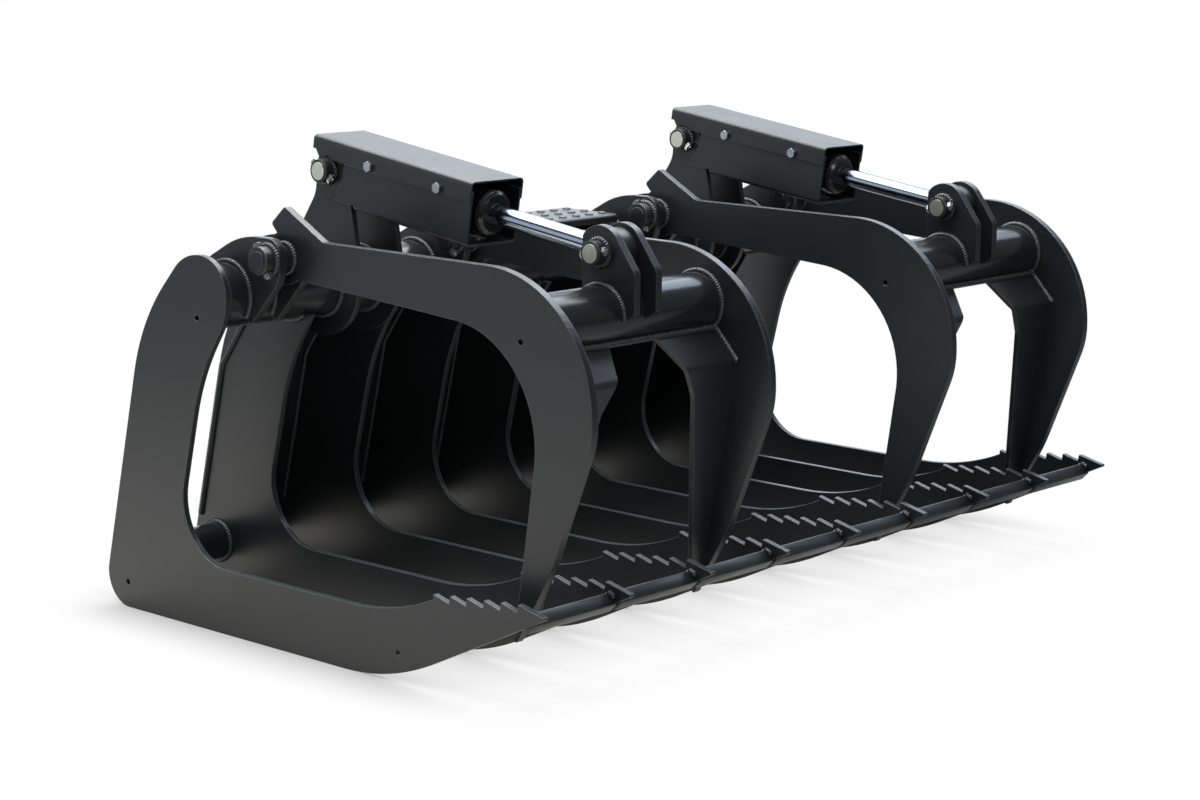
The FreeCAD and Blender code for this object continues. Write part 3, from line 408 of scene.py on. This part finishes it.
def bracket_welds():
    y, z, r = TORQUE
    beads = []
    for _, clamp_x in CLAMPS:
        for x in (clamp_x - BRACKET_HALF_PITCH, clamp_x + BRACKET_HALF_PITCH):
            for face in faces_of(x, BRACKET_HALF):
                beads.append(ring_bead((face, y, z), r + SEAT, *BRACKET_RING))
        boss = clamp_x - BRACKET_HALF_PITCH - BRACKET_HALF - BOSS_SEAT
        beads.append(ring_bead((boss, *BASE_PIN), PIN_BOSS_R))
    return beads


def crossbar_welds():
    """Beads over the bar's back and top where it meets each tine."""
    beads = []
    for index, x in enumerate(TINE_XS):
        for side in (-1, 1):
            if not 0 <= index + side < len(TINE_XS):
                continue
            face = x + side * (TINE_HALF + SEAT)
            for start, end in zip(BAR_SECTION[:2], BAR_SECTION[1:3]):
                beads.append(line_bead((face, *start), (face, *end)))
    return beads


def panel_welds():
    """Beads where the inner tines meet the back panel's inner face."""
    beads = []
    knee, head = Vector(KNEE), Vector(HEAD)
    foot = Vector((knee.x + (knee.y - PANEL_FOOT_Z) * math.tan(LEAN), PANEL_FOOT_Z))
    end = knee.lerp(head, PANEL_BEAD_END)
    for x in TINE_XS[1:-1]:
        for face in faces_of(x, TINE_HALF):
            for a, b in ((foot, knee), (knee, end)):
                beads.append(line_bead((face, a.x - SEAT, a.y), (face, b.x - SEAT, b.y)))
    return beads


def clamp_welds(clamp_x):
    """Beads of one clamp. The lugs have theirs on their outer faces only, because the rod's eye
    swings close to the cross tube between them."""
    y, z, r = CROSS
    inner = CLAMP_HALF_PITCH - CLAMP_HALF - SEAT
    lug = LUG_HALF_PITCH + LUG_HALF
    beads = [ring_bead((clamp_x + side * inner, y, z), r + SEAT) for side in (-1, 1)]
    for side in (-1, 1):
        beads.append(ring_bead((clamp_x + side * (lug + SEAT), y, z), r + SEAT, *LUG_SADDLE))
    beads.append(ring_bead((clamp_x - lug - BOSS_SEAT, *ROD_PIN), PIN_BOSS_R))
    for side in (-1, 1):
        for face in faces_of(clamp_x + side * CLAMP_HALF_PITCH, CLAMP_HALF):
            beads.append(ring_bead((face, *PIVOT), HUB_R))
        x = clamp_x + side * inner
        for start, end in (STIFFENER_FLANK, STIFFENER_LEG):
            beads.append(line_bead((x, *start), (x, *end)))
    beads.append(line_bead((clamp_x - inner, *STIFFENER_SEAM), (clamp_x + inner, *STIFFENER_SEAM)))
    return beads


def rod_welds(clamp_x):
    """The bead between a cylinder's rod and its eye."""
    away, radius = ROD_BEAD
    run = Vector((0, -math.cos(CYLINDER_TILT), -math.sin(CYLINDER_TILT)))
    centre = Vector((clamp_x, *ROD_PIN)) - run * away
    return [ring_bead(centre, radius, axis=run)]


# Materials

def linear(hex_colour):
    """sRGB hex to linear light."""
    values = [int(hex_colour[i:i + 2], 16) / 255 for i in (0, 2, 4)]
    bent = [v / 12.92 if v <= 0.04045 else ((v + 0.055) / 1.055) ** 2.4 for v in values]
    return (*bent, 1.0)


def add(tree, kind, inputs=None, **settings):
    """Adds a node with its settings, and with its inputs as values or as links."""
    made = tree.nodes.new(kind)
    for key, value in settings.items():
        setattr(made, key, value)
    for key, value in (inputs or {}).items():
        if isinstance(value, bpy.types.NodeSocket):
            tree.links.new(value, made.inputs[key])
        else:
            made.inputs[key].default_value = value
    return made


def material(name):
    made = bpy.data.materials.new(name)
    made.use_nodes = True
    made.node_tree.nodes.clear()
    return made, made.node_tree


def finish_material(tree, surface):
    add(tree, "ShaderNodeOutputMaterial", {"Surface": surface.outputs[0]})


def ramp_between(tree, factor, low, high):
    """Maps a 0 to 1 pattern to a range."""
    made = add(tree, "ShaderNodeMapRange", {"Value": factor, "To Min": low, "To Max": high})
    return made.outputs[0]


def black_powder_coat(name, plain, wear_and_highlight, rough_low, rough_high, top_highlight):
    """Black powder coat on hot-rolled plate: a fine orange-peel skin with a soft satin gleam,
    cloudy patches of gloss, and a paler line in patches along upper edges, partly wear where the
    coat has thinned and partly a painted highlight. The edge's round is drawn about twice as wide
    as the real one, so that it shows. Upward faces are painted paler by a share of the pale
    colour, a painted highlight."""
    made, tree = material(name)
    place = add(tree, "ShaderNodeTexCoord").outputs["Object"]
    peel = add(tree, "ShaderNodeTexNoise", {
        "Vector": place, "Scale": 1 / (2.2 * MM), "Detail": 2.0})
    cloud = add(tree, "ShaderNodeTexNoise", {
        "Vector": place, "Scale": 1 / (90 * MM), "Detail": 4.0})
    speck = add(tree, "ShaderNodeTexNoise", {
        "Vector": place, "Scale": 1 / (5 * MM), "Detail": 3.0})
    # An edge is where the rounded normal leaves the flat one
    rounded = add(tree, "ShaderNodeBevel", {"Radius": 2.6 * MM}, samples=6)
    flat = add(tree, "ShaderNodeNewGeometry").outputs["Normal"]
    agree = add(tree, "ShaderNodeVectorMath", {0: rounded.outputs[0], 1: flat},
                operation="DOT_PRODUCT")
    edge = add(tree, "ShaderNodeMapRange", {
        "Value": agree.outputs["Value"], "From Min": 0.995, "From Max": 0.90})
    axes = add(tree, "ShaderNodeSeparateXYZ", {0: rounded.outputs[0]})
    upper = add(tree, "ShaderNodeMapRange", {
        "Value": axes.outputs["Z"], "From Min": 0.1, "From Max": 0.6, "To Min": 0.15})
    # Upper edges take the pale colour in patches: partly wear where the coat is thin, partly a painted
    # highlight on the arris
    top_edge = add(tree, "ShaderNodeMath", {0: edge.outputs[0], 1: upper.outputs[0]},
                   operation="MULTIPLY")
    wear = add(tree, "ShaderNodeMapRange", {
        "Value": speck.outputs["Fac"], "From Min": 0.25, "From Max": 0.6})
    patchy = add(tree, "ShaderNodeMath", {0: top_edge.outputs[0], 1: wear.outputs[0]},
                 operation="MULTIPLY")
    facing = add(tree, "ShaderNodeSeparateXYZ", {0: flat})
    # Upward faces are painted paler: a painted highlight on the tops
    upward = add(tree, "ShaderNodeMapRange", {
        "Value": facing.outputs["Z"], "From Min": 0.80, "From Max": 0.90, "To Max": top_highlight})
    pale = add(tree, "ShaderNodeMath", {0: patchy.outputs[0], 1: upward.outputs[0]},
               operation="MAXIMUM")
    tone = add(tree, "ShaderNodeMix", {
        "Factor": pale.outputs[0], "A": linear(plain), "B": linear(wear_and_highlight)}, data_type="RGBA")
    rough = ramp_between(tree, cloud.outputs["Fac"], rough_low, rough_high)
    skin = add(tree, "ShaderNodeBump", {
        "Height": peel.outputs["Fac"], "Strength": 0.12, "Distance": 0.25 * MM,
        "Normal": rounded.outputs[0]})
    paint = add(tree, "ShaderNodeBsdfPrincipled", {
        "Base Color": tone.outputs["Result"], "Roughness": rough, "IOR": 1.5,
        "Normal": skin.outputs[0]})
    finish_material(tree, paint)
    return made


def hard_chrome():
    """Ground and polished hard chrome on a piston rod: a bright streak with faint grinding marks
    round it. The eye welded to the rod's end is painted black."""
    made, tree = material("hard_chrome_rod")
    place = add(tree, "ShaderNodeTexCoord").outputs["Object"]
    turned = add(tree, "ShaderNodeMapping", {"Vector": place, "Scale": (1.0, 60.0, 1.0)})
    marks = add(tree, "ShaderNodeTexNoise", {
        "Vector": turned.outputs[0], "Scale": 1 / (40 * MM), "Detail": 3.0})
    rough = ramp_between(tree, marks.outputs["Fac"], 0.10, 0.22)
    # Chrome is bare where it lies further from the rod pin's line than the eye reaches
    eye = Vector((0.0, *ROD_PIN)) * MM
    across = add(tree, "ShaderNodeVectorMath", {0: place, 1: (0.0, 1.0, 1.0)}, operation="MULTIPLY")
    away = add(tree, "ShaderNodeVectorMath", {0: across.outputs[0], 1: eye}, operation="DISTANCE")
    past_eye = add(tree, "ShaderNodeMath", {0: away.outputs["Value"], 1: ROD_EYE_R * MM},
                   operation="GREATER_THAN")
    bare = past_eye.outputs[0]
    tone = add(tree, "ShaderNodeMix", {
        "Factor": bare, "A": linear("1D1F21"), "B": linear("949DA9")}, data_type="RGBA")
    finish = add(tree, "ShaderNodeMix", {"Factor": bare, "A": 0.34, "B": rough})
    surface = add(tree, "ShaderNodeBsdfPrincipled", {
        "Base Color": tone.outputs["Result"], "Metallic": bare, "Roughness": finish.outputs["Result"]})
    finish_material(tree, surface)
    return made


def zinc_plate(name, light, dark, rough_low, rough_high):
    """Zinc plating on steel: a pale satin metal with cloudy grey patches."""
    made, tree = material(name)
    place = add(tree, "ShaderNodeTexCoord").outputs["Object"]
    cloud = add(tree, "ShaderNodeTexNoise", {
        "Vector": place, "Scale": 1 / (9 * MM), "Detail": 4.0})
    grain = add(tree, "ShaderNodeTexNoise", {
        "Vector": place, "Scale": 1 / (1.5 * MM), "Detail": 2.0})
    tone = add(tree, "ShaderNodeMix", {
        "Factor": cloud.outputs["Fac"], "A": linear(light), "B": linear(dark)}, data_type="RGBA")
    rounded = add(tree, "ShaderNodeBevel", {"Radius": 0.8 * MM}, samples=4)
    skin = add(tree, "ShaderNodeBump", {
        "Height": grain.outputs["Fac"], "Strength": 0.08, "Distance": 0.2 * MM,
        "Normal": rounded.outputs[0]})
    rough = ramp_between(tree, cloud.outputs["Fac"], rough_low, rough_high)
    surface = add(tree, "ShaderNodeBsdfPrincipled", {
        "Base Color": tone.outputs["Result"], "Metallic": 1.0, "Roughness": rough,
        "Normal": skin.outputs[0]})
    finish_material(tree, surface)
    return made


def studio_floor():
    """Seamless white studio paper: pure white in the picture but for a painted contact shadow close
    under the object, darkened by ambient occlusion, and a matt pale grey in reflections, painted
    duller far off and towards the front, so that a painted pool of light lies round the object."""
    made, tree = material("studio_floor")
    seen = add(tree, "ShaderNodeLightPath").outputs["Is Camera Ray"]
    # Painted contact shadow: the paper's glow is dimmed where ambient occlusion finds the object close
    # above
    shade = add(tree, "ShaderNodeAmbientOcclusion", {"Distance": FLOOR_SHADE}, samples=16)
    level = add(tree, "ShaderNodeMapRange", {
        "Value": shade.outputs["AO"], "From Min": 0.35, "From Max": 0.97, "To Min": 0.42, "To Max": 1.0})
    paper = add(tree, "ShaderNodeEmission", {"Color": linear("FFFFFF"), "Strength": level.outputs[0]})
    # Painted pool of light: in reflections the floor's colour is paler near the object and greyer far
    # off and towards the front
    place = add(tree, "ShaderNodeTexCoord").outputs["Object"]
    away = add(tree, "ShaderNodeVectorMath", {0: place}, operation="LENGTH")
    far = add(tree, "ShaderNodeMapRange", {
        "Value": away.outputs["Value"], "From Min": 2.2, "From Max": 5.5})
    ahead = add(tree, "ShaderNodeVectorMath", {0: place, 1: (0.75, -0.66, 0.0)},
                operation="DOT_PRODUCT")
    front = add(tree, "ShaderNodeMapRange", {
        "Value": ahead.outputs["Value"], "From Min": -0.3, "From Max": 1.0})
    painted_falloff = add(tree, "ShaderNodeMath", {0: far.outputs[0], 1: front.outputs[0]}, operation="MAXIMUM")
    tone = add(tree, "ShaderNodeMix", {
        "Factor": painted_falloff.outputs[0], "A": linear("D8D4CC"), "B": linear("7E7E7E")}, data_type="RGBA")
    grey = add(tree, "ShaderNodeBsdfPrincipled", {
        "Base Color": tone.outputs["Result"], "Roughness": 0.9})
    surface = add(tree, "ShaderNodeMixShader", {0: seen, 1: grey.outputs[0], 2: paper.outputs[0]})
    finish_material(tree, surface)
    return made


# Finishes: name, plain colour and the pale colour of edge wear and painted highlight, roughness from and
# to, and how far upward faces are painted paler as a highlight
PAINT = black_powder_coat("black_powder_coat", "1B1F22", "8F979C", 0.27, 0.40, 0.09)
# The bars' upward faces are painted much paler: a painted highlight along their tops
BAR_PAINT = black_powder_coat("powder_coat_on_bars", "1B1F22", "8F979C", 0.24, 0.36, 0.45)
TUBE_PAINT = black_powder_coat("powder_coat_on_tube", "1B1F22", "8F979C", 0.15, 0.24, 0.0)
WELD_PAINT = black_powder_coat("powder_coat_over_weld", "262A2D", "A4A9AC", 0.10, 0.20, 0.0)
CHROME = hard_chrome()
ZINC = zinc_plate("bright_zinc_bolts", "C2C5C8", "8F9396", 0.22, 0.38)
PIN_ZINC = zinc_plate("yellow_zinc_pins", "E6E5D2", "C2C1AE", 0.26, 0.42)
MACHINED = zinc_plate("machined_steel", "A9ABAD", "8E9092", 0.20, 0.34)
FINISHES = {"black_paint": PAINT, "rod_chrome": CHROME, "zinc_steel": ZINC, "plated_pin": PIN_ZINC,
            "machined_steel": MACHINED}
SMOOTH_PARTS = ("tube", "pins", "hubs", "barrel", "gland")


def dress_cad():
    """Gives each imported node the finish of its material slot. Drawn tube and turned steel take a
    smoother coat than hot-rolled plate."""
    slots = {entry["node"]: entry["material_slot"] for entry in frame["record"]["subparts"]}
    for name, piece in frame["nodes"].items():
        piece.data.materials.clear()
        finish = FINISHES[slots[name]]
        smooth = finish is PAINT and any(part in name for part in SMOOTH_PARTS)
        piece.data.materials.append(TUBE_PAINT if smooth else finish)


def welds():
    made = [
        ("torque_tube_welds", "frame", torque_tube_welds()),
        ("corner_tube_welds", "frame", corner_tube_welds()),
        ("pivot_ear_welds", "frame", ear_welds()),
        ("cylinder_bracket_welds", "frame", bracket_welds()),
        ("crossbar_welds", "frame", crossbar_welds()),
        ("back_panel_welds", "frame", panel_welds()),
    ]
    for side, clamp_x in CLAMPS:
        made.append((f"{side}_clamp_welds", f"{side}_clamp", clamp_welds(clamp_x)))
        made.append((f"{side}_rod_eye_weld", f"{side}_rod", rod_welds(clamp_x)))
    for name, body, beads in made:
        join(beads, name, body, WELD_PAINT)


# Stage

def floor():
    deselect()
    bpy.ops.mesh.primitive_plane_add(size=FLOOR_SIZE, location=(0, 0, 0))
    piece = bpy.context.object
    piece.name = "studio_floor"
    piece.data.materials.append(studio_floor())


def camera():
    """The photograph's view, found from the tines' spacing."""
    yaw, pitch, roll = map(math.radians, CAMERA_TURN)
    level = Vector((math.sin(yaw), math.cos(yaw), 0.0))
    ahead = level * math.cos(pitch) - Vector((0.0, 0.0, math.sin(pitch)))
    right = Vector((math.cos(yaw), -math.sin(yaw), 0.0))
    up = right.cross(ahead)
    x_axis = right * math.cos(roll) + up * math.sin(roll)
    y_axis = up * math.cos(roll) - right * math.sin(roll)
    data = bpy.data.cameras.new("photo_camera")
    data.lens = CAMERA_LENS
    data.sensor_width = CAMERA_FILM
    data.clip_end = 100.0
    eye = bpy.data.objects.new("photo_camera", data)
    bpy.context.scene.collection.objects.link(eye)
    turn = Matrix((x_axis, y_axis, -ahead)).transposed().to_4x4()
    eye.matrix_world = Matrix.Translation(Vector(CAMERA_PLACE)) @ turn
    bpy.context.scene.camera = eye


def softbox(name, at, target, width, height, power, colour):
    data = bpy.data.lights.new(name, "AREA")
    data.shape = "RECTANGLE"
    data.size = width
    data.size_y = height
    data.energy = power
    data.color = linear(colour)[:3]
    lamp = bpy.data.objects.new(name, data)
    lamp.visible_camera = False
    bpy.context.scene.collection.objects.link(lamp)
    turn = (Vector(target) - Vector(at)).to_track_quat("-Z", "Y").to_matrix().to_4x4()
    lamp.matrix_world = Matrix.Translation(Vector(at)) @ turn


def studio():
    """White surroundings for the camera, dimmer ones for the reflections, and soft lamps."""
    world = bpy.data.worlds.new("studio")
    bpy.context.scene.world = world
    world.use_nodes = True
    tree = world.node_tree
    tree.nodes.clear()
    seen = add(tree, "ShaderNodeLightPath").outputs["Is Camera Ray"]
    white = add(tree, "ShaderNodeBackground", {"Color": linear("FFFFFF"), "Strength": 1.0})
    dim = add(tree, "ShaderNodeBackground", {"Color": linear("E9ECEF"), "Strength": 0.20})
    both = add(tree, "ShaderNodeMixShader", {0: seen, 1: dim.outputs[0], 2: white.outputs[0]})
    add(tree, "ShaderNodeOutputWorld", {"Surface": both.outputs[0]})
    for lamp in LAMPS:
        softbox(*lamp)
    bpy.context.scene.view_settings.view_transform = "Standard"


camera()
dress_cad()
clamp_plates()
back_edges()
crossbar()
welds()
floor()
studio()
